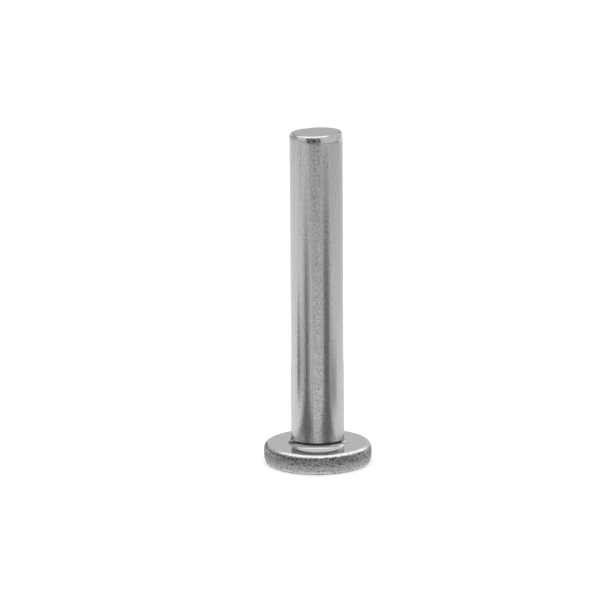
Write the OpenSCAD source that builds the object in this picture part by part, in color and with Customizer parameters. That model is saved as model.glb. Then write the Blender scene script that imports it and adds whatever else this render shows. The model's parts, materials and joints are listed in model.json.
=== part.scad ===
// Solid rivet with a flat round head, cold-headed from one length of drawn stainless wire.
// It stands on its head: the outer face lies on z = 0 and the shank points up along +Z.

/* [Shank] */
// Diameter of the shank
shank_d = 5; // [3:0.1:8]
// Length of the shank, from the seat under the head to the middle of the cut end
shank_l = 30; // [8:0.5:60]

/* [Head] */
// Diameter of the head at the widest line of its rim
head_d = 10.3; // [8:0.1:18]
// Thickness of the head, from its outer face to its seat
head_t = 1.9; // [1.4:0.05:4]
// Height of the rim's widest line above the outer face
belly_z = 0.9; // [0.5:0.05:1.2]
// How far the seat's edge lies inside the rim's widest line
seat_in = 0.44; // [0.2:0.02:0.9]
// How far the outer face's edge lies inside the rim's widest line
face_in = 0.24; // [0.1:0.02:0.8]

/* [Root of the shank] */
// How far the flare at the root reaches over the seat
flare_w = 0.26; // [0.1:0.02:0.6]
// How far the flare runs up the shank
flare_h = 0.66; // [0.4:0.02:1.5]
// How far the flare's arc sinks into the shank's wall, so that the two cross and don't only touch
flare_sink = 0.002; // [0.001:0.001:0.01]

/* [Cut end] */
// How far the rolled edge of the cut end comes in from the shank's wall
roll_in = 0.18; // [0.05:0.01:0.4]
// How far the rolled edge runs down the shank
roll_h = 0.5; // [0.2:0.05:1]
// Slant of the cut, in degrees
cut_slant = 2.1; // [0:0.1:8]
// Bearing of the cut's high side, in degrees from +X towards +Y
cut_bearing = 45; // [0:5:355]

/* [Hidden] */
$fn = 96;
shank_r = shank_d / 2;
head_r = head_d / 2;
tail_z = head_t + shank_l;
waste = shank_d + shank_l;  // side of the blocks that cut stock away

// Radius of an arc that starts along a straight line and has left it by `off` after a run of `run`
function arc_radius(run, off) = (run * run + off * off) / (2 * off);

// Half section of one side of the rim. Its arc is upright at the widest line, at z = 0 here,
// and has come in by `off` at the height `run`.
module rim_section(run, off) {
    arc_r = arc_radius(run, off);
    intersection() {
        square([2 * head_r, run]);
        union() {
            translate([head_r - arc_r, 0]) circle(arc_r);
            translate([-arc_r, 0]) square([head_r, run]);
        }
    }
}

// Half section of the head: the rim's upper side falls away to the seat, its lower side to the outer face
module head_section() {
    translate([0, belly_z]) {
        rim_section(head_t - belly_z, seat_in);
        mirror([0, 1]) rim_section(belly_z, face_in);
    }
}

// Half section of the hollow flare that carries the shank's wall out over the seat
module flare_section() {
    arc_r = arc_radius(flare_h, flare_w);
    translate([0, head_t]) difference() {
        square([shank_r + flare_w, flare_h]);
        translate([shank_r + arc_r - flare_sink, flare_h]) circle(arc_r);
    }
}

// Half section of the shank. Above the wall it follows a ball centred on the axis, which is the
// rolled edge, and it runs past the end to leave stock for the cut.
module shank_section() {
    face_r = shank_r - roll_in;
    ball_drop = (shank_r * shank_r - face_r * face_r + roll_h * roll_h) / (2 * roll_h);
    ball_r = norm([face_r, ball_drop]);
    intersection() {
        square([shank_r, tail_z + ball_r]);
        translate([0, tail_z - ball_drop]) union() {
            circle(ball_r);
            translate([-ball_r, -waste]) square([2 * ball_r, waste]);
        }
    }
}

// Stock above the slanted cut
module cut_waste() {
    translate([0, 0, tail_z]) rotate([0, -cut_slant, cut_bearing])
        translate([-waste / 2, -waste / 2, 0]) cube(waste);
}

module rivet() {
    color("silver") difference() {
        rotate_extrude() {
            head_section();
            flare_section();
            shank_section();
        }
        cut_waste();
    }
}

rivet();
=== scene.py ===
import json
import math

import bpy
from mathutils import Euler, Matrix, Vector


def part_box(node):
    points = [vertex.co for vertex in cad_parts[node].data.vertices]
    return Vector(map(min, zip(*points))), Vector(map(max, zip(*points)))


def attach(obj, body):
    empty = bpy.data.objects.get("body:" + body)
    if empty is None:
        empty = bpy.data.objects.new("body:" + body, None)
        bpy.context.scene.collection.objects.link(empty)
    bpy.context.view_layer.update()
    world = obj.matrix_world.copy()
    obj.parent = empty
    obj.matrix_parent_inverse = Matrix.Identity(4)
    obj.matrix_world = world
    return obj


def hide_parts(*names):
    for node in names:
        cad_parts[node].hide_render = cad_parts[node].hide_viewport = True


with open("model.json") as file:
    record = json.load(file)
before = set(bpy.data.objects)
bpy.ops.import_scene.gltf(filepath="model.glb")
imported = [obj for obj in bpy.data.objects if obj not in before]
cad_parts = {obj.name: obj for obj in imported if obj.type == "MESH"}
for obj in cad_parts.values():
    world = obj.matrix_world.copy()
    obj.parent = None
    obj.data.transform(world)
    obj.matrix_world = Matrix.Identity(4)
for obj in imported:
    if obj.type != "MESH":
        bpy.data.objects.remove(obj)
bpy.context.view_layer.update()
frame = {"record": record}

# ---------------------------------------------------------------- sizes, in metres
MM = 0.001
MICRON = 0.000001
MOUNTS = {mount["name"]: mount for mount in frame["record"]["mounts"]}
BLANK_LOW, BLANK_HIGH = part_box("rivet")
MIDDLE = (BLANK_LOW + BLANK_HIGH) / 2

HEAD_R = BLANK_HIGH.x                                # widest line of the rim
SHANK_R = MOUNTS["shank"]["dims"]["r_mm"] * MM
SEAT_Z = MOUNTS["seat"]["pos_m"][2]                  # thickness of the head
BELLY_Z = 0.9 * MM                                   # height of the rim's widest line
SEAT_IN = 0.46 * MM                                  # seat's edge, inside the widest line
FACE_IN = 0.24 * MM                                  # outer face's edge, inside the widest line
FLARE_W = 0.26 * MM                                  # reach of the root flare over the seat
FLARE_H = 0.66 * MM                                  # height of the root flare
CUT_SLANT = math.radians(2.3)                        # slant of the sheared end
CUT_BEARING = math.radians(12)                       # its high side, from +X towards +Y
CUT_R = SHANK_R - 0.18 * MM                          # radius of the sheared end's flat
CUT_Z = BLANK_HIGH.z - math.tan(CUT_SLANT) * CUT_R   # middle of the sheared end

SIDES = 576                                          # segments round the axis
RIM_LEAN = math.radians(6)                           # how far the rim leans in where its seat edge begins
EDGE_ROUND = 0.07 * MM                               # wear on the outer face's edge
WELD = 0.002 * MM                                    # points nearer than this become one
WALL_ROWS = (3, 3.8, 5, 7, 10, 13, 16, 19, 22, 25, 28, 30, 34)   # heights of the straight wall's rows, in mm


# ---------------------------------------------------------------- modelling helpers
def deselect_objects():
    bpy.ops.object.select_all(action="DESELECT")


def pick(piece):
    """Selects one piece alone and makes it the active one."""
    deselect_objects()
    piece.select_set(True)
    bpy.context.view_layer.objects.active = piece


def edit(piece):
    """Opens a piece in edit mode with nothing of it selected."""
    pick(piece)
    bpy.ops.object.mode_set(mode="EDIT")
    bpy.ops.mesh.select_all(action="DESELECT")


def close_edit():
    bpy.ops.object.mode_set(mode="OBJECT")


def select_points(piece, wanted):
    """In edit mode, selects the points whose place passes `wanted`, and the edges and faces between them."""
    bpy.ops.mesh.select_mode(type="VERT")
    bpy.ops.mesh.select_all(action="DESELECT")
    bpy.ops.object.mode_set(mode="OBJECT")
    for point in piece.data.vertices:
        point.select = wanted(point.co)
    bpy.ops.object.mode_set(mode="EDIT")


def select_edges(piece, wanted):
    """In edit mode, selects the edges whose two ends both pass `wanted`, and nothing else."""
    bpy.ops.mesh.select_mode(type="EDGE")
    bpy.ops.mesh.select_all(action="DESELECT")
    bpy.ops.object.mode_set(mode="OBJECT")
    points = piece.data.vertices
    for edge in piece.data.edges:
        edge.select = all(wanted(points[end].co) for end in edge.vertices)
    bpy.ops.object.mode_set(mode="EDIT")


def ease(value, start, end):
    """0 before start, 1 after end, and a smooth rise between them."""
    share = min(1.0, max(0.0, (value - start) / (end - start)))
    return share * share * (3 - 2 * share)


def weigh(blank, name, weight_at):
    """A vertex group that holds each point as strongly as `weight_at` says for its place."""
    group = blank.vertex_groups.new(name=name)
    for point in blank.data.vertices:
        weight = weight_at(point.co)
        if weight > 0:
            group.add([point.index], weight, "REPLACE")


def displace(blank, group, strength, direction="NORMAL", texture=None, mid_level=0.0):
    """Adds a Displace modifier that works on the named vertex group, and applies it."""
    pick(blank)
    relief = blank.modifiers.new("relief", "DISPLACE")
    relief.vertex_group = group
    relief.strength = strength
    relief.direction = direction
    relief.mid_level = mid_level
    relief.texture_coords = "LOCAL"
    relief.texture = texture
    bpy.ops.object.modifier_apply(modifier=relief.name)


def arc_radius(run, off):
    """Radius of an arc that has left its straight line by `off` after a run of `run`."""
    return (run * run + off * off) / (2 * off)


# ---------------------------------------------------------------- the rivet's section
def face_section():
    """The flat outer face, from the axis to its edge."""
    edge = HEAD_R - FACE_IN
    rings = 24
    return [(edge * step / rings, 0.0) for step in range(rings)]


def rim_section():
    """The barrelled rim, from the outer face's edge over the widest line to the seat's rounded edge."""
    low_r = arc_radius(BELLY_Z, FACE_IN)
    low_turn = math.asin(BELLY_Z / low_r)
    rows = 20
    points = []
    for step in range(rows):
        turn = -low_turn * (1 - step / rows)
        points.append((HEAD_R - low_r * (1 - math.cos(turn)), BELLY_Z + low_r * math.sin(turn)))
    side, up = math.cos(RIM_LEAN), math.sin(RIM_LEAN)
    run = SEAT_Z - BELLY_Z
    round_r = (SEAT_IN * up - run * (1 - side)) / (side * up - (1 - side) * (1 - up))
    high_r = (run - round_r * (1 - up)) / up
    for step in range(rows):
        turn = RIM_LEAN * step / rows
        points.append((HEAD_R - high_r * (1 - math.cos(turn)), BELLY_Z + high_r * math.sin(turn)))
    round_rows = 7
    for step in range(round_rows + 1):
        turn = RIM_LEAN + (math.pi / 2 - RIM_LEAN) * step / round_rows
        points.append((HEAD_R - SEAT_IN + round_r * math.cos(turn), SEAT_Z - round_r * (1 - math.sin(turn))))
    return points


def seat_section():
    """The flat seat, from near its edge to near the flare."""
    outer = HEAD_R - SEAT_IN
    inner = SHANK_R + FLARE_W
    rings = 9
    return [(outer + (inner - outer) * step / rings, SEAT_Z) for step in range(1, rings)]


def flare_section():
    """The hollow flare at the root, from its foot on the seat to where it meets the straight wall."""
    bend = arc_radius(FLARE_H, FLARE_W)
    full_turn = math.asin(FLARE_H / bend)
    rows = 14
    points = []
    for step in range(rows + 1):
        turn = full_turn * (1 - step / rows)
        reach = SHANK_R + bend * (1 - math.cos(turn))
        points.append((reach, SEAT_Z + FLARE_H - bend * math.sin(turn)))
    return points


def wall_section():
    """The straight wall, past the end of the rivet: the shear takes the rest."""
    return [(SHANK_R, height * MM) for height in WALL_ROWS]


def spin_blank(section):
    """Lays the section as a chain of points in the XZ plane and spins it round the axis."""
    deselect_objects()
    bpy.ops.mesh.primitive_plane_add(size=MM, location=(0, 0, 0))
    blank = bpy.context.object
    blank.name = "headed_rivet"
    edit(blank)
    bpy.ops.mesh.select_all(action="SELECT")
    bpy.ops.mesh.merge(type="CENTER")
    place = Vector((0, 0, 0))
    for reach, height in section[1:]:
        step = Vector((reach, 0, height)) - place
        bpy.ops.mesh.extrude_region_move(TRANSFORM_OT_translate={"value": step})
        place = place + step
    bpy.ops.mesh.select_all(action="SELECT")
    bpy.ops.mesh.spin(steps=SIDES, angle=math.tau, center=(0, 0, 0), axis=(0, 0, 1))
    bpy.ops.mesh.select_all(action="SELECT")
    bpy.ops.mesh.remove_doubles(threshold=WELD)
    bpy.ops.mesh.select_all(action="SELECT")
    bpy.ops.mesh.normals_make_consistent(inside=False)
    close_edit()
    return blank


# ---------------------------------------------------------------- the sheared end
CUT_MIDDLE = Vector((0, 0, CUT_Z))
CUT_AXIS = Vector((
    -math.sin(CUT_SLANT) * math.cos(CUT_BEARING),
    -math.sin(CUT_SLANT) * math.sin(CUT_BEARING),
    math.cos(CUT_SLANT),
))
BAND_Z = CUT_Z - 0.74 * MM                           # where the rolled band under the cut starts
BAND_DEPTH = CUT_Z - BAND_Z
BAND_ROWS = (-0.45, -0.15, 0, 0.2, 0.4, 0.58, 0.72)  # heights of the rows, as shares of the band's depth
CUT_ROUND = 0.15 * MM                                # rounding of the sheared end's edge
CUT_SLACK = 0.02 * MM                                # how near the cut's plane a point counts as on it
END_RINGS = (0.90, 0.875, 0.85, 0.8, 0.7, 0.6, 0.45, 0.3, 0.18, 0.08)   # rings that close the end, as shares
LINE_CLIMB = 0.72                                    # how far up the band its lower line climbs, as a share
ROLL_DEPTH = 0.13 * MM                               # how far the shear rolls the wall in at most
ROLL_LEAST = 0.35                                    # share of the roll that is left on the far side

# Bearings round the axis, in degrees: 0 at the camera's side and 90 at +X, as turn_of() gives them.
LEFT_CLIMB = (8, 56)                                 # the band's line climbs between these, to the left
BACK_CLIMB = (100, 175)                              # and between these, from the right to the back
ROLL_TURN = 80                                       # where the roll is deepest
NOTCH_TURN = -68                                     # the notch in the sheared edge
NICK_TURN = -158                                     # the smaller nick at the back


def on_the_cut(place, slack=CUT_SLACK):
    """Whether a place lies on the sheared end's plane, to within `slack`."""
    return abs((place - CUT_MIDDLE).dot(CUT_AXIS)) < slack


def cut_height(place):
    """Height of the sheared end's plane above or below a place."""
    return CUT_Z - (place.x * CUT_AXIS.x + place.y * CUT_AXIS.y) / CUT_AXIS.z


def turn_of(place):
    """Bearing of a place round the axis, in degrees: 0 at the camera's side, 90 at +X, -90 at -X."""
    return math.degrees(math.atan2(place.x, -place.y))


def up_the_band(place):
    """How far up the rolled band a place lies: 0 at its lower line and 1 at the sheared end."""
    return (place.z - BAND_Z) / (cut_height(place) - BAND_Z)


def band_room(place):
    """Height from the start of the rolled band to just under the sheared end's rounded edge."""
    return cut_height(place) - 1.1 * CUT_ROUND - BAND_Z


def shear_end(blank):
    """Cuts the stock to length on a slant, and scores the rows of the rolled band below the cut."""
    edit(blank)
    bpy.ops.mesh.select_all(action="SELECT")
    bpy.ops.mesh.bisect(
        plane_co=CUT_MIDDLE, plane_no=CUT_AXIS, use_fill=False, clear_outer=True, clear_inner=False)
    for share in BAND_ROWS:
        bpy.ops.mesh.select_all(action="SELECT")
        bpy.ops.mesh.bisect(
            plane_co=(0, 0, BAND_Z + BAND_DEPTH * share),
            plane_no=(CUT_AXIS.x * max(0, share), CUT_AXIS.y * max(0, share), CUT_AXIS.z),
            use_fill=False, clear_outer=False, clear_inner=False)
    close_edit()


def line_climb(place):
    """How far the band's lower line has climbed round the left and the back, from 0 to 1."""
    turn = turn_of(place)
    return ease(-turn, *LEFT_CLIMB) if turn < 0 else ease(turn, *BACK_CLIMB)


def band_lift(place):
    """The band's rows climb with its lower line, and stop under the rounded edge."""
    tail = 0.5                                       # rows this share below the line still move with it
    room = band_room(place)
    share = (place.z - BAND_Z) / room
    if share < -tail or share > 1 or place.xy.length < 0.9 * SHANK_R:
        return 0.0
    fade = 1 - share if share > 0 else 1 + share / tail
    return line_climb(place) * fade * room / BAND_DEPTH


def band_roll(place):
    """The shear rolls the wall in over the band, most of all towards +X."""
    if place.z < BAND_Z:
        return 0.0
    nearness = math.cos(math.radians(turn_of(place) - ROLL_TURN))
    lean = ROLL_LEAST + (1 - ROLL_LEAST) * ease(nearness, -0.6, 1.0)
    bend = 1.7
    return lean * max(0.0, up_the_band(place)) ** bend


def roll_band(blank):
    """Rolls the wall in under the cut."""
    weigh(blank, "band_roll", band_roll)
    displace(blank, "band_roll", -ROLL_DEPTH)


def lift_band_line(blank):
    """Moves the band's rows up to where its lower line climbs."""
    weigh(blank, "band_lift", band_lift)
    displace(blank, "band_lift", LINE_CLIMB * BAND_DEPTH, direction="Z")


def close_end(blank):
    """Closes the sheared end with rings in its slanted plane, down to one point."""
    edit(blank)
    select_points(blank, on_the_cut)
    size = 1.0
    for share in END_RINGS:
        bpy.ops.mesh.extrude_region_move(TRANSFORM_OT_translate={"value": (0, 0, 0)})
        step = share / size
        bpy.ops.transform.resize(value=(step, step, step), center_override=CUT_MIDDLE)
        size = share
    bpy.ops.mesh.extrude_region_move(TRANSFORM_OT_translate={"value": (0, 0, 0)})
    bpy.ops.mesh.merge(type="CENTER")
    close_edit()


def round_edges(blank):
    """Rounds the sheared end's edge and takes the sharpness off the outer face's edge."""
    edit(blank)
    select_edges(blank, lambda place: on_the_cut(place) and place.xy.length > 0.94 * SHANK_R)
    bpy.ops.mesh.bevel(offset=CUT_ROUND, offset_type="OFFSET", segments=8, profile=0.5, affect="EDGES")
    near = 0.01 * MM
    face_edge_r = HEAD_R - FACE_IN
    select_edges(blank, lambda place: abs(place.xy.length - face_edge_r) < near and place.z < near)
    bpy.ops.mesh.bevel(offset=EDGE_ROUND, offset_type="OFFSET", segments=4, profile=0.5, affect="EDGES")
    bpy.ops.mesh.select_all(action="SELECT")
    bpy.ops.mesh.normals_make_consistent(inside=False)
    close_edit()


def dent(place, turn, reach, height, width):
    """1 at a spot given by bearing, reach and height, falling to 0 at `width` from it."""
    bearing = math.radians(turn)
    spot = Vector((reach * math.sin(bearing), -reach * math.cos(bearing), height))
    return 1 - ease((place - spot).length, 0.0, width)


def edge_marks(place):
    """Small damage along the sheared edge: a notch at the left corner and a nick at the back."""
    if place.z < CUT_Z - 0.9 * MM:
        return 0.0
    return max(
        dent(place, NOTCH_TURN, SHANK_R - 0.06 * MM, NOTCH.z + 0.02 * MM, 0.24 * MM),
        0.6 * dent(place, NICK_TURN, SHANK_R - 0.05 * MM, CUT_Z - 0.02 * MM, 0.42 * MM))


def under_the_cut(turn, drop):
    """A place on the shank's wall, given by bearing and by the drop from the sheared end's plane."""
    bearing = math.radians(turn)
    place = Vector((math.sin(bearing), -math.cos(bearing), 0)) * SHANK_R
    place.z = cut_height(place) - drop
    return place


NOTCH = under_the_cut(NOTCH_TURN, 0.05 * MM)         # the notch's middle


def lip_groove(place):
    """A fine groove between the sheared end and its rolled edge, on the front right."""
    if not on_the_cut(place, 0.012 * MM):
        return 0.0
    turn = turn_of(place)
    along = ease(turn, 26, 44) * (1 - ease(turn, 78, 96))
    return along * (1 - ease(abs(place.xy.length - 0.89 * SHANK_R), 0.02 * MM, 0.075 * MM))


def mark_end(blank):
    """Cuts the small damage and the lip's groove into the sheared end."""
    weigh(blank, "edge_marks", edge_marks)
    displace(blank, "edge_marks", -0.055 * MM)
    weigh(blank, "lip_groove", lip_groove)
    displace(blank, "lip_groove", -0.035 * MM)


# ---------------------------------------------------------------- relief
RIM_GRAINS = (                                       # name, grain size, finer layers, pattern, relief
    ("rim_grain", 0.14 * MM, 1, "BLENDER_ORIGINAL", 0.070 * MM),
    ("rim_crystals", 0.10 * MM, 0, "VORONOI_F1", 0.030 * MM),
    ("rim_swell", 0.9 * MM, 1, "BLENDER_ORIGINAL", 0.020 * MM),
)
RIM_LEVEL = 0.7                                      # texture level that stays put, so the grain cuts in
WIRE_END = Vector((0.75 * MM, 0.8 * MM, 0))          # middle of the old wire end in the outer face
WIRE_END_R = 2.65 * MM
WIRE_END_DEPTH = 0.025 * MM


def cloud_texture(name, grain_size, finer_layers, pattern):
    """A texture for relief, with its grain size in metres."""
    texture = bpy.data.textures.new(name, "CLOUDS")
    texture.noise_scale = grain_size
    texture.noise_depth = finer_layers
    texture.noise_basis = pattern
    return texture


def rim_weight(place):
    """Full on the rim, and fading out on its rounded seat edge and at the outer face."""
    reach = place.xy.length
    if place.z > SEAT_Z + 0.01 * MM or reach < HEAD_R - SEAT_IN - 0.01 * MM:
        return 0.0
    low_fade = ease(place.z, 0.0, 0.12 * MM)
    high_fade = 1 - 0.75 * ease(place.z, SEAT_Z - 0.16 * MM, SEAT_Z - 0.02 * MM)
    edge_fade = ease(reach, HEAD_R - SEAT_IN, HEAD_R - SEAT_IN + 0.05 * MM)
    return low_fade * high_fade * edge_fade


def grain_rim(blank):
    """The rim swelled freely, so its skin has a coarse grain like orange peel."""
    weigh(blank, "rim_skin", rim_weight)
    for name, grain_size, finer_layers, pattern, depth in RIM_GRAINS:
        texture = cloud_texture(name, grain_size, finer_layers, pattern)
        displace(blank, "rim_skin", depth, texture=texture, mid_level=RIM_LEVEL)


def wire_end_weight(place):
    """Full over the wire's old end in the outer face, and fading out at its edge."""
    if place.z > 0.001 * MM or place.xy.length > HEAD_R - FACE_IN - 0.1 * MM:
        return 0.0
    return 1 - ease((place - WIRE_END).length, WIRE_END_R - 0.25 * MM, WIRE_END_R + 0.2 * MM)


def sink_wire_end(blank):
    """The wire's old end shows in the outer face as a shallow round patch off the middle."""
    weigh(blank, "wire_end", wire_end_weight)
    displace(blank, "wire_end", WIRE_END_DEPTH, direction="Z")


# ---------------------------------------------------------------- shader helper
class Shade:
    """A value inside one material. Sums and products of such values add Math nodes to the material."""

    def __init__(self, tree, socket=None):
        self.tree = tree
        self.socket = socket

    def node(self, kind, settings, values, out=0):
        """Adds a node of a type, makes its settings, then fills its sockets with numbers or links."""
        made = self.tree.nodes.new(kind)
        for name, setting in settings.items():
            setattr(made, name, setting)
        for name, value in values.items():
            if isinstance(value, Shade):
                self.tree.links.new(value.socket, made.inputs[name])
            else:
                made.inputs[name].default_value = value
        return Shade(self.tree, made.outputs[out])

    def math(self, operation, *terms):
        return self.node("ShaderNodeMath", {"operation": operation}, dict(enumerate(terms)))

    def vectors(self, operation, *terms, out="Vector"):
        return self.node("ShaderNodeVectorMath", {"operation": operation}, dict(enumerate(terms)), out)

    def __add__(self, other):
        return self.math("ADD", self, other)

    __radd__ = __add__

    def __sub__(self, other):
        return self.math("SUBTRACT", self, other)

    def __rsub__(self, other):
        return self.math("SUBTRACT", other, self)

    def __mul__(self, other):
        return self.math("MULTIPLY", self, other)

    __rmul__ = __mul__

    def clamped(self):
        return self.node("ShaderNodeClamp", {}, {"Value": self})


def open_material(name):
    """A new empty material with its output and a metal shader in it."""
    material = bpy.data.materials.new(name)
    material.use_nodes = True
    tree = material.node_tree
    tree.nodes.clear()
    shade = Shade(tree)
    metal = tree.nodes.new("ShaderNodeBsdfPrincipled")
    output = tree.nodes.new("ShaderNodeOutputMaterial")
    tree.links.new(metal.outputs["BSDF"], output.inputs["Surface"])
    metal.inputs["Metallic"].default_value = 1.0
    return material, shade, metal


def finish_metal(shade, metal, colour, roughness, height):
    """Feeds the colour, the roughness and a surface height in metres to the metal shader."""
    shade.tree.links.new(colour.socket, metal.inputs["Base Color"])
    shade.tree.links.new(roughness.socket, metal.inputs["Roughness"])
    bump = shade.node("ShaderNodeBump", {}, {"Strength": 1.0, "Distance": 1.0, "Height": height})
    shade.tree.links.new(bump.socket, metal.inputs["Normal"])


def steel(shade, level):
    """Bare stainless steel: a neutral grey with a trace of warmth, at a varying level."""
    parts = {"Red": level, "Green": level * 0.984, "Blue": level * 0.989}
    return shade.node("ShaderNodeCombineColor", {}, parts)


def spot_on(shade):
    """The place on the piece that is being shaded, in the piece's own coordinates."""
    return shade.node("ShaderNodeTexCoord", {}, {}, out="Object")


def stretched(shade, scale):
    """The same place, stretched by a scale for each axis."""
    values = {"Vector": spot_on(shade), "Scale": scale}
    return shade.node("ShaderNodeMapping", {"vector_type": "POINT"}, values)


def part_of(shade, axis):
    """One coordinate of the place, along the axis that is named X, Y or Z."""
    return shade.node("ShaderNodeSeparateXYZ", {}, {"Vector": spot_on(shade)}, out=axis)


def noise(shade, scale, detail=2.0, rough=0.5):
    """Noise that runs from -0.5 to 0.5, with `scale` as waves per metre along each axis."""
    values = {"Vector": stretched(shade, scale), "Scale": 1.0, "Detail": detail, "Roughness": rough}
    return shade.node("ShaderNodeTexNoise", {}, values) - 0.5


def rise(value, start, soft):
    """0 up to start, then rising to 1 over the next `soft`."""
    return ((value - start) * (1 / soft)).clamped()


def fall(value, end, soft):
    """1 until `soft` is left before end, then falling to 0 at end."""
    return ((end - value) * (1 / soft)).clamped()


def between(value, start, end, soft):
    """1 for values well between start and end, 0 outside them, with soft ends."""
    return rise(value, start, soft) * fall(value, end, soft)


# ---------------------------------------------------------------- finishes
def pits(shade, per_metre, size, share):
    """1 inside sparse small pits and 0 elsewhere; `share` of the cells have one, `size` of a cell wide."""
    settings = {"feature": "F1"}
    values = {"Vector": stretched(shade, (per_metre, per_metre, per_metre)), "Scale": 1.0}
    away = shade.node("ShaderNodeTexVoronoi", settings, values, out="Distance")
    tint = shade.node("ShaderNodeTexVoronoi", settings, values, out="Color")
    chance = shade.node("ShaderNodeSeparateColor", {}, {"Color": tint})
    chosen = shade.math("GREATER_THAN", chance, 1 - share)
    return ((size - away) * (3 / size)).clamped() * chosen


def round_the_axis(shade):
    """Bearing round the axis in radians: 0 at the camera's side and positive towards +X."""
    return shade.math("ARCTAN2", part_of(shade, "X"), part_of(shade, "Y") * -1)


def height_of(shade):
    """Height above the outer face."""
    return part_of(shade, "Z")


def over_the_cut(shade):
    """Height above the sheared end's plane, square to it."""
    from_middle = shade.vectors("SUBTRACT", spot_on(shade), CUT_MIDDLE)
    return shade.vectors("DOT_PRODUCT", from_middle, CUT_AXIS, out="Value")


def distance_to(shade, place):
    """Distance of the spot on the surface from a place."""
    return shade.vectors("DISTANCE", spot_on(shade), place, out="Value")


def scratch(shade, start, end, width):
    """1 along a straight scratch between two places, and 0 beyond half its width."""
    run = end - start
    away = shade.vectors("SUBTRACT", spot_on(shade), start)
    along = shade.vectors("DOT_PRODUCT", away, run, out="Value")
    share = (along * (1 / run.length_squared)).clamped()
    nearest = shade.node("ShaderNodeVectorMath", {"operation": "SCALE"}, {0: run, "Scale": share})
    off = shade.vectors("DISTANCE", away, nearest, out="Value")
    return (1 - off * (2 / width)).clamped()


def along_line(shade, round_axis, turn, width):
    """1 along a line down the shank at a bearing in degrees, 0 beyond half its width in degrees."""
    off = shade.math("ABSOLUTE", round_axis - math.radians(turn))
    return (1 - off * (1 / math.radians(width / 2))).clamped()


def drawn_finish():
    """The drawn shank: satin, with fine lines along it, grain and small pits, and painted reflections: dark
    lines over shallow grooves, and a lighter strip.
    """
    material, shade, metal = open_material("drawn_shank")
    round_axis = round_the_axis(shade)
    height_up = height_of(shade)
    upper = rise(height_up, 20 * MM, 3 * MM)
    lower = 1 - upper
    low_down = fall(height_up, 11 * MM, 3 * MM)
    near_top = rise(height_up, 25.5 * MM, 2 * MM)
    # Painted reflections: dark lines at set bearings on the camera's side that shift with height, over
    # shallow grooves.
    grooves_and_painted_reflections = along_line(shade, round_axis, -17.6, 3.0) * lower
    grooves_and_painted_reflections = grooves_and_painted_reflections + along_line(shade, round_axis, -14.8, 3.4) * upper
    grooves_and_painted_reflections = grooves_and_painted_reflections + along_line(shade, round_axis, -11.0, 3.4) * low_down
    grooves_and_painted_reflections = grooves_and_painted_reflections + along_line(shade, round_axis, -36.0, 3.4) * near_top
    # Painted reflection: a lighter strip at one bearing, between two heights.
    painted_light_strip = along_line(shade, round_axis, -13.0, 5.0) * (lower - low_down)
    front_turn = round_axis + upper * math.radians(6)
    front = between(front_turn, math.radians(-9.5), math.radians(14.5), math.radians(3))
    front_grain = noise(shade, (13000, 13000, 10000), detail=2.0, rough=0.7) * front
    lines = noise(shade, (9000, 9000, 60), detail=3.0, rough=0.6)
    long_lines = noise(shade, (2600, 2600, 14), detail=1.0)
    scored = ((long_lines - 0.14) * 14).clamped()
    grain = noise(shade, (8200, 8200, 7000), detail=3.0, rough=0.7)
    relief = noise(shade, (4600, 4600, 3800), detail=3.0, rough=0.7)
    clouds = noise(shade, (700, 700, 90), detail=2.0)
    pit = pits(shade, 900, 0.10, 0.16)
    level = 0.635 + lines * 0.20 + grain * 0.46 + front_grain * 1.15 + relief * 0.10 + clouds * 0.03
    level = level - scored * 0.05 - pit * 0.25 - grooves_and_painted_reflections * 0.12 + painted_light_strip * 0.05
    roughness = 0.20 + grain * 0.12 + clouds * 0.04 + pit * 0.1
    height = lines * (2.0 * MICRON) + grain * (3.0 * MICRON) + relief * (10.0 * MICRON)
    height = height - scored * (1.0 * MICRON) - pit * (6.0 * MICRON) - grooves_and_painted_reflections * (2.0 * MICRON)
    finish_metal(shade, metal, steel(shade, level), roughness, height)
    return material


def pressed_finish():
    """The seat and the root flare: pressed smooth by the die, with painted shade as a dark ring round the
    flare.
    """
    material, shade, metal = open_material("pressed_seat")
    haze = noise(shade, (1500, 1500, 1500), detail=3.0)
    grain = noise(shade, (11000, 11000, 11000), detail=2.0)
    # Painted shade: a dark ring round the flare, below where it meets the straight wall.
    painted_root_shade = between(height_of(shade), SEAT_Z + 0.23 * MM, SEAT_Z + 0.61 * MM, 0.10 * MM)
    level = (0.69 + haze * 0.08 + grain * 0.06) * (1 - painted_root_shade * 0.69)
    roughness = 0.13 + haze * 0.06
    height = grain * (0.8 * MICRON) + haze * (3.0 * MICRON)
    finish_metal(shade, metal, steel(shade, level), roughness, height)
    return material


def upset_finish():
    """The rim: free-swelled metal with a coarse sparkling grain, and a burnished edge at the seat that is
    painted lighter as a highlight.
    """
    material, shade, metal = open_material("upset_rim")
    grain = noise(shade, (6000, 6000, 6000), detail=3.0, rough=0.6)
    over_belly = rise(height_of(shade), 0.8 * MM, 0.25 * MM)
    mottle = noise(shade, (2600, 2600, 3200), detail=2.0) * over_belly
    clefts = ((mottle * 0.9 - grain - 0.05) * 7).clamped()
    # Smoother along the seat's rounded edge, and painted lighter there as a highlight.
    burnish_and_highlight = rise(height_of(shade), SEAT_Z - 0.22 * MM, 0.06 * MM)
    level = 0.61 + grain * 0.4 - clefts * (0.38 - burnish_and_highlight * 0.31) + burnish_and_highlight * 0.26
    roughness = 0.18 + grain * 0.16 + clefts * 0.1
    height = grain * ((13.0 - burnish_and_highlight * 9) * MICRON)
    finish_metal(shade, metal, steel(shade, level), roughness, height)
    return material


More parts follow.
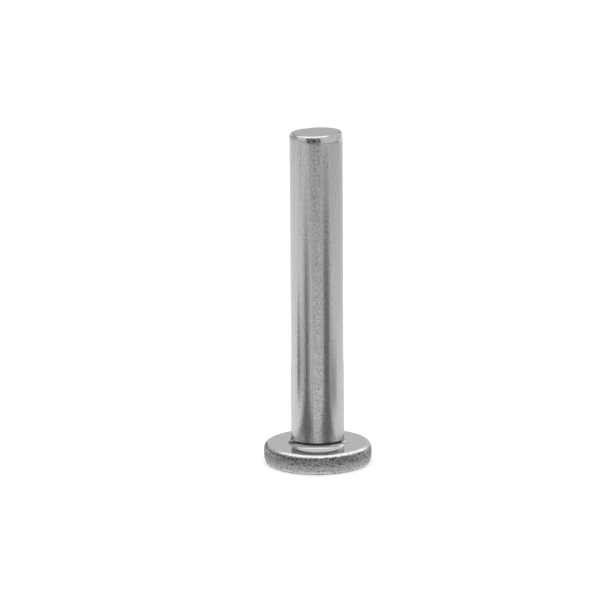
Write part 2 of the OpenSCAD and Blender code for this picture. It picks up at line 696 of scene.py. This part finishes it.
def lip_shadow(shade):
    """1 along the fine dark line between the sheared end and its lip, at the front right and at the left."""
    away = distance_to(shade, CUT_MIDDLE)
    waver = noise(shade, (1800, 1800, 1800)) * (0.08 * MM)
    line = between(away + waver, 0.862 * SHANK_R, 0.915 * SHANK_R, 0.012 * SHANK_R)
    turn = round_the_axis(shade)
    on_right = between(turn, math.radians(34), math.radians(84), math.radians(6))
    on_left = between(turn, math.radians(-82), math.radians(-48), math.radians(6))
    return line * (on_right + on_left)


def sheared_finish():
    """The cut end: dull, with faint scratches across it."""
    material, shade, metal = open_material("sheared_end")
    drag = noise(shade, (9000, 1200, 9000), detail=3.0)
    grain = noise(shade, (9000, 9000, 9000), detail=2.0)
    level = 0.54 + drag * 0.08 + grain * 0.05 - lip_shadow(shade) * 0.5
    roughness = 0.26 + drag * 0.12
    height = drag * (1.5 * MICRON) + grain * (0.8 * MICRON)
    finish_metal(shade, metal, steel(shade, level), roughness, height)
    return material


def rolled_finish():
    """The rolled band under the cut: burnished by the shear blade, torn at the front, worn at its edge and
    painted lighter there as a highlight, with painted shade along that edge on the right, and darker along a
    line from the notch.
    """
    material, shade, metal = open_material("rolled_band")
    drag = noise(shade, (6000, 6000, 3500), detail=3.0)
    tear = noise(shade, (9000, 9000, 7000), detail=3.0, rough=0.7)
    patches = noise(shade, (2500, 2500, 2500), detail=2.0)
    round_axis = round_the_axis(shade)
    over_cut = over_the_cut(shade)
    torn_turn = round_axis + (over_cut + 0.4 * MM) * 180
    torn = between(torn_turn, math.radians(-21), math.radians(8), math.radians(4))
    torn = torn * fall(over_cut - patches * (0.08 * MM), -0.17 * MM, 0.04 * MM)
    torn = torn * rise(height_of(shade), BAND_Z + 0.05 * MM, 0.06 * MM)
    on_right = rise(round_axis, math.radians(22), math.radians(12))
    edge = over_cut + (on_right * -0.06 + 0.14) * MM + patches * (0.18 * MM)
    # Smoother along the edge under the cut, and painted lighter there as a highlight, except on the right.
    burnish_and_highlight = (edge * (1 / (0.05 * MM))).clamped() * (1 - on_right)
    # Darker along a line from the notch, plus the painted shade along the lip's line.
    notch_line_and_lip_shade = scratch(shade, NOTCH, under_the_cut(-46, 0.20 * MM), 0.17 * MM) + lip_shadow(shade)
    # Painted shade: darker along the edge under the cut on the right side.
    painted_right_shade = rise(over_cut, -0.16 * MM, 0.04 * MM) * on_right
    level = 0.60 + drag * 0.2 + burnish_and_highlight * 0.28 - notch_line_and_lip_shade * 0.5 - painted_right_shade * 0.16
    level = level + torn * (tear * 5.0 - 0.25)
    roughness = 0.17 + drag * 0.10 - burnish_and_highlight * 0.03 + torn * 0.08
    height = drag * ((6.0 - burnish_and_highlight * 4) * MICRON) + torn * tear * (16.0 * MICRON)
    finish_metal(shade, metal, steel(shade, level), roughness, height)
    return material


def face_finish():
    """The outer face: satin from the heading punch, with the old wire end showing as a duller patch."""
    material, shade, metal = open_material("punched_face")
    haze = noise(shade, (1200, 1200, 1200), detail=3.0)
    grain = noise(shade, (9000, 9000, 9000), detail=3.0)
    away = distance_to(shade, WIRE_END) + haze * (0.9 * MM)
    patch = fall(away, WIRE_END_R + 0.4 * MM, 0.9 * MM)
    level = 0.55 + haze * 0.08 - patch * 0.06 + grain * (patch * 0.24 + 0.06)
    roughness = 0.22 + haze * 0.08 + patch * 0.12
    height = grain * ((patch * 3 + 1) * MICRON)
    finish_metal(shade, metal, steel(shade, level), roughness, height)
    return material


FINISHES = [drawn_finish, pressed_finish, upset_finish, sheared_finish, rolled_finish, face_finish]


def finish_of(centre, normal):
    """Which finish a face of the rivet has, by its place and the way it faces."""
    reach = centre.xy.length
    if centre.z < 0.03 * MM and reach < HEAD_R - FACE_IN - EDGE_ROUND / 2:
        return face_finish
    if centre.z < SEAT_Z - 0.05 * MM or reach > HEAD_R - SEAT_IN:
        return upset_finish
    if centre.z < SEAT_Z + FLARE_H:
        return pressed_finish
    if on_the_cut(centre, 0.04 * MM) and reach < 0.93 * SHANK_R and normal.z > 0.9:
        return sheared_finish
    if centre.z > BAND_Z + LINE_CLIMB * band_room(centre) * line_climb(centre):
        return rolled_finish
    return drawn_finish


def dress(blank):
    """Gives the rivet its finishes, one material slot each."""
    for finish in FINISHES:
        blank.data.materials.append(finish())
    for face in blank.data.polygons:
        face.material_index = FINISHES.index(finish_of(face.center, face.normal))
    pick(blank)
    bpy.ops.object.shade_smooth()


# ---------------------------------------------------------------- studio
WHITE = (1, 1, 1, 1)
WARM = (1, 0.985, 0.95, 1)
WARM_BELOW = 0.45                                    # cards that stay under this level are a little warm
FADE = (0.03, 0.13)                                  # distances between which a card's level changes
FLOOR_SIDE = 6.0
FLOOR_GAP = 0.01 * MM                                # so that floor and outer face don't share a plane
FLOOR_IN = 0.006                                     # where the cards on the floor start
FLOOR_OUT = 0.2                                      # and how far out they reach
LAYER = 0.2 * MM                                     # cards on the floor lie in layers this far apart
OVERHEAD_Z = 0.30                                    # height of the bright card overhead
OVERHEAD_SIDE = 0.56
OVERHEAD_GLOW = 1.1                                  # the lamp's level, where 1 is a white card's
LAMP_WATTS = 4                                       # on each square metre of a lamp, for level 1
LAMP_RISE = 0.04                                     # how far the lamp hangs above the overhead card
# Lines of the slanted canopy, as (distance, height). It hangs above what the shank's wall mirrors.
CANOPY_IN = (0.028, 0.0292)
CANOPY_FRONT = (0.0628, 0.0249)
CANOPY_SIDE = (0.070, 0.0240)
CANOPY_TIP = (0.090, 0.0215)
CANOPY_OUT = (0.20, 0.008)


def away_from_axis(shade):
    """Distance from the middle of the floor."""
    return shade.vectors("LENGTH", spot_on(shade), out="Value")


def card_tone(name, levels, fade):
    """A card's material: a grey that goes softly from its near level to its far one, warm where dark."""
    material = bpy.data.materials.new(name)
    material.use_nodes = True
    tree = material.node_tree
    tree.nodes.clear()
    shade = Shade(tree)
    start, end = fade
    near_level, far_level = levels
    level = rise(away_from_axis(shade), start, end - start) * (far_level - near_level) + near_level
    tint = WARM if max(levels) < WARM_BELOW else WHITE
    glow = shade.node("ShaderNodeEmission", {}, {"Color": tint, "Strength": level})
    output = tree.nodes.new("ShaderNodeOutputMaterial")
    tree.links.new(glow.socket, output.inputs["Surface"])
    material.cycles.emission_sampling = "NONE"
    return material


def card(name, corners, faces, levels, fade=FADE):
    """A studio card that shows in the metal only: neither the camera nor the floor sees it."""
    mesh = bpy.data.meshes.new(name)
    mesh.from_pydata(corners, [], faces)
    piece = bpy.data.objects.new(name, mesh)
    bpy.context.scene.collection.objects.link(piece)
    mesh.materials.append(card_tone(name, levels, fade))
    piece.visible_camera = False
    piece.visible_diffuse = False
    piece.visible_shadow = False


def strip_faces(panels):
    """The panels of a strip whose corners come in pairs, one from each long side."""
    return [(2 * step, 2 * step + 2, 2 * step + 3, 2 * step + 1) for step in range(panels)]


def round_card(name, start, end, inner, outer, level):
    """A card that runs round the rivet between two bearings, from one (distance, height) to another."""
    panel_turn = 8
    panels = max(1, round((end - start) / panel_turn))
    corners = []
    for step in range(panels + 1):
        bearing = math.radians(start + (end - start) * step / panels)
        for distance, height in (inner, outer):
            corners.append((distance * math.sin(bearing), -distance * math.cos(bearing), height))
    card(name, corners, strip_faces(panels), (level, level))


def shown_by_shank(turn, run, height):
    """A point that the shank's wall mirrors to the camera, where the wall faces `turn` degrees from it."""
    face = math.radians(turn)
    sight = math.radians(2 * turn)
    return (
        SHANK_R * math.sin(face) + run * math.sin(sight),
        -SHANK_R * math.cos(face) - run * math.cos(sight),
        height)


def shank_card(name, near, far, levels, fade=FADE, layer=1):
    """A card on the floor whose image stands upright on the shank; near and far are (run, turn, turn)."""
    panel_turn = 4
    panels = max(1, round((far[2] - far[1]) / panel_turn))
    corners = []
    for step in range(panels + 1):
        for run, start, end in (near, far):
            corners.append(shown_by_shank(start + (end - start) * step / panels, run, layer * LAYER))
    card(name, corners, strip_faces(panels), levels, fade)


def ray_is(shade, kind):
    """1 for rays of one kind: Camera, Glossy or Transmission."""
    return shade.node("ShaderNodeLightPath", {}, {}, out=f"Is {kind} Ray")


def seen_by_eye_or_metal(shade):
    """1 for rays from the camera, off metal and through glass, and 0 for the rays that light things."""
    return (ray_is(shade, "Camera") + ray_is(shade, "Glossy") + ray_is(shade, "Transmission")).clamped()


def make_floor():
    """A plain pale floor that keeps the rivet's shadow, open from below so that the outer face shows."""
    deselect_objects()
    bpy.ops.mesh.primitive_plane_add(size=FLOOR_SIDE, location=(0, 0, BLANK_LOW.z - FLOOR_GAP))
    floor = bpy.context.object
    floor.name = "floor"
    material = bpy.data.materials.new("pale_floor")
    material.use_nodes = True
    material.cycles.emission_sampling = "NONE"
    tree = material.node_tree
    tree.nodes.clear()
    shade = Shade(tree)
    paint = shade.node("ShaderNodeBsdfDiffuse", {}, {"Color": (0.55, 0.55, 0.55, 1)})
    near_level, far_level = 0.48, 0.78
    far_off = rise(away_from_axis(shade), 0.25, 0.5)
    paleness = seen_by_eye_or_metal(shade) * (far_off * (far_level - near_level) + near_level)
    white = shade.node("ShaderNodeEmission", {}, {"Color": WHITE, "Strength": paleness})
    top_side = shade.node("ShaderNodeAddShader", {}, {0: paint, 1: white})
    open_side = shade.node("ShaderNodeBsdfTransparent", {}, {})
    below = shade.node("ShaderNodeNewGeometry", {}, {}, out="Backfacing")
    mixed = shade.node("ShaderNodeMixShader", {}, {0: below, 1: top_side, 2: open_side})
    output = tree.nodes.new("ShaderNodeOutputMaterial")
    tree.links.new(mixed.socket, output.inputs["Surface"])
    floor.data.materials.append(material)


def make_world():
    """White where the camera, the metal or glass looks; a plain soft level as a light."""
    world = bpy.data.worlds.new("studio")
    bpy.context.scene.world = world
    world.use_nodes = True
    tree = world.node_tree
    tree.nodes.clear()
    shade = Shade(tree)
    light_level = 0.6
    strength = seen_by_eye_or_metal(shade) * (1 - light_level) + light_level
    back = shade.node("ShaderNodeBackground", {}, {"Color": WHITE, "Strength": strength})
    output = tree.nodes.new("ShaderNodeOutputWorld")
    tree.links.new(back.socket, output.inputs["Surface"])
    world.cycles.sampling_method = "NONE"


def make_lamp():
    """One wide soft lamp overhead; the metal shows the card below it instead."""
    lamp = bpy.data.lights.new("overhead_softbox", "AREA")
    lamp.shape = "SQUARE"
    lamp.size = OVERHEAD_SIDE
    lamp.energy = OVERHEAD_GLOW * LAMP_WATTS * OVERHEAD_SIDE * OVERHEAD_SIDE
    holder = bpy.data.objects.new("overhead_softbox", lamp)
    holder.location = (0, 0, OVERHEAD_Z + LAMP_RISE)
    holder.visible_camera = False
    holder.visible_glossy = False
    bpy.context.scene.collection.objects.link(holder)


def make_room_cards():
    """The room that the metal shows: a bright top, grey walls, black at the camera's side, and the canopy."""
    half = OVERHEAD_SIDE / 2
    corners = [(x, y, OVERHEAD_Z) for x, y in ((-half, -half), (half, -half), (half, half), (-half, half))]
    card("overhead_card", corners, [(0, 1, 2, 3)], (1.12, 1.12))
    wall, right_wall, back_wall = 0.41, 0.40, 0.38   # distances from the rivet
    round_card("surround_card", -95, 95, (wall, 0.0), (wall, 0.46), 0.80)
    round_card("back_left_card", -150, -95, (wall, 0.0), (wall, 0.15), 0.60)
    round_card("back_left_high_card", -175, -95, (wall, 0.15), (wall, 0.42), 0.36)
    round_card("back_right_low_card", 95, 150, (right_wall, 0.0), (right_wall, 0.15), 0.72)
    round_card("back_right_softbox_card", 95, 150, (back_wall, 0.14), (back_wall, 0.30), 1.15)
    round_card("backdrop_card", 150, 210, (back_wall, 0.0), (back_wall, 0.20), 0.61)
    round_card("camera_side_card", -42, 20, (0.25, 0.0), (0.25, 0.085), 0.03)
    round_card("near_front_high_card", -64, 56, CANOPY_IN, CANOPY_FRONT, 0.42)
    round_card("near_front_low_card", -64, 56, CANOPY_FRONT, CANOPY_OUT, 0.08)
    round_card("left_low_card", -168, -64, CANOPY_SIDE, CANOPY_OUT, 0.14)
    round_card("left_high_card", -168, -64, CANOPY_IN, CANOPY_SIDE, 0.45)
    round_card("right_low_card", 56, 120, CANOPY_SIDE, CANOPY_OUT, 0.14)
    round_card("right_mirror_card", 120, 168, CANOPY_SIDE, CANOPY_TIP, 0.14)
    round_card("right_tip_card", 120, 168, CANOPY_TIP, CANOPY_OUT, 0.80)
    round_card("right_high_card", 56, 100, CANOPY_IN, CANOPY_SIDE, 0.55)
    round_card("right_high_edge_card", 100, 112, CANOPY_IN, CANOPY_SIDE, 0.75)
    round_card("low_skirt_card", -168, 120, CANOPY_OUT, (0.21, 0.0), 0.20)


def make_rim_cards():
    """Greys close round the head, which the lower side of its rim mirrors; the one next to the head is the
    floor's painted shadow round it.
    """
    ground = 0.1 * MM
    inner, middle, outer = HEAD_R + 0.01 * MM, 7.4 * MM, 8 * MM
    round_card("back_floor_card", 140, 220, (8.2 * MM, ground), (40 * MM, ground), 0.30)
    # Painted shadow: the floor's shade next to the head, as the rim mirrors it.
    round_card("near_floor_card", -180, 180, (inner, ground), (middle, ground), 0.56)
    round_card("rim_floor_card", -180, 180, (middle, ground), (outer, ground), 0.30)
    round_card("rim_card", -180, 180, (outer, ground), (outer, 0.95 * MM), 0.30)


def make_tables():
    """Wide greys on the floor, side by side, that the shank's wall mirrors as upright bands: the floor's
    painted light and shade, lighter to the sides and darker in front.
    """
    # Painted light and shade of the floor, as the shank mirrors it.
    tables = (                                       # name, bearings of its two sides, near and far level
        ("left_edge_table", -80, -36.5, (0.93, 0.86)),
        ("left_table", -36.5, -14.8, (0.86, 0.93)),
        ("front_table", -14.8, 11.3, (0.66, 0.55)),
        ("right_front_table", 11.3, 27, (0.66, 0.88)),
        ("right_side_table", 27, 32, (0.66, 0.68)),
        ("right_table", 32, 80, (0.84, 0.66)),
    )
    for name, start, end, levels in tables:
        shank_card(name, (FLOOR_IN, start, end), (FLOOR_OUT, start, end), levels)


def make_streaks():
    """Narrow greys on top of the tables, that the shank's wall mirrors as streaks."""
    tip = 0.118                                      # where the two long streaks end
    streaks = (                                      # name, near side, far side, levels, fade
        ("left_gap", (0.1, -38, -35.5), (FLOOR_OUT, -38, -35.5), (0.6, 0.6), FADE),
        ("right_streak", (FLOOR_IN, 14.0, 28), (tip, 13.5, 28), (0.17, 0.30), (0.100, tip)),
        ("right_streak_tip", (tip, 13.5, 28), (0.140, 14, 24), (0.22, 0.72), (0.126, 0.140)),
        ("left_streak", (FLOOR_IN, -28.4, -18.2), (tip, -28.8, -18.0), (0.16, 0.84), (0.102, 0.116)),
        ("left_streak_side", (0.082, -30, -28), (0.106, -34, -28), (0.34, 0.6), (0.096, 0.108)),
        ("right_low_streak", (0.020, 29.8, 46.2), (0.042, 29.8, 46.2), (0.34, 0.34), FADE),
        ("left_low_streak", (0.025, -50.0, -41.5), (0.068, -47.0, -43.0), (0.05, 0.05), FADE),
        ("left_low_side", (0.025, -41.5, -31), (0.062, -42.5, -31), (0.5, 0.6), (0.026, 0.062)),
    )
    for name, near, far, levels, fade in streaks:
        shank_card(name, near, far, levels, fade, layer=2)


def make_feet():
    """Dark ends of the streaks, where they run out wide over the floor at the head."""
    dark = (0.17, 0.17)
    foot_start, foot_end = 8.0 * MM, 16.5 * MM
    shank_card("right_foot", (foot_start, 4, 44), (foot_end, 10, 31), dark, layer=3)
    shank_card("right_ankle", (foot_end, 10, 31), (0.023, 14.5, 27.5), dark, layer=3)
    shank_card("left_foot", (foot_start, -58, -7), (foot_end, -36, -12.5), dark, layer=3)
    shank_card("left_ankle", (foot_end, -36, -12.5), (0.024, -30, -18), dark, layer=3)


def make_camera():
    """The camera looks down a little on the rivet, from in front, through a long lens."""
    dip = math.radians(12.98)
    roll = math.radians(-0.393)
    distance = 321.57 * MM
    aim = MIDDLE + Vector((-1.60 * MM, 0, -0.20 * MM))
    place = aim + Vector((0, -math.cos(dip), math.sin(dip))) * distance
    lens = bpy.data.cameras.new("camera")
    lens.lens = 204.3
    lens.sensor_width = 36
    lens.clip_start = 0.01
    lens.clip_end = 10
    camera = bpy.data.objects.new("camera", lens)
    camera.matrix_world = (
        Matrix.Translation(place)
        @ Euler((math.pi / 2 - dip, 0, 0)).to_matrix().to_4x4()
        @ Matrix.Rotation(roll, 4, "Z"))
    bpy.context.scene.collection.objects.link(camera)
    bpy.context.scene.camera = camera


# ---------------------------------------------------------------- the scene
make_camera()
rivet = spin_blank(face_section() + rim_section() + seat_section() + flare_section() + wall_section())
shear_end(rivet)
roll_band(rivet)
close_end(rivet)
round_edges(rivet)
lift_band_line(rivet)
mark_end(rivet)
grain_rim(rivet)
sink_wire_end(rivet)
dress(rivet)
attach(rivet, "root")
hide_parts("rivet")
make_floor()
make_world()
make_lamp()
make_room_cards()
make_rim_cards()
make_tables()
make_streaks()
make_feet()

bpy.context.scene.view_settings.view_transform = "Standard"
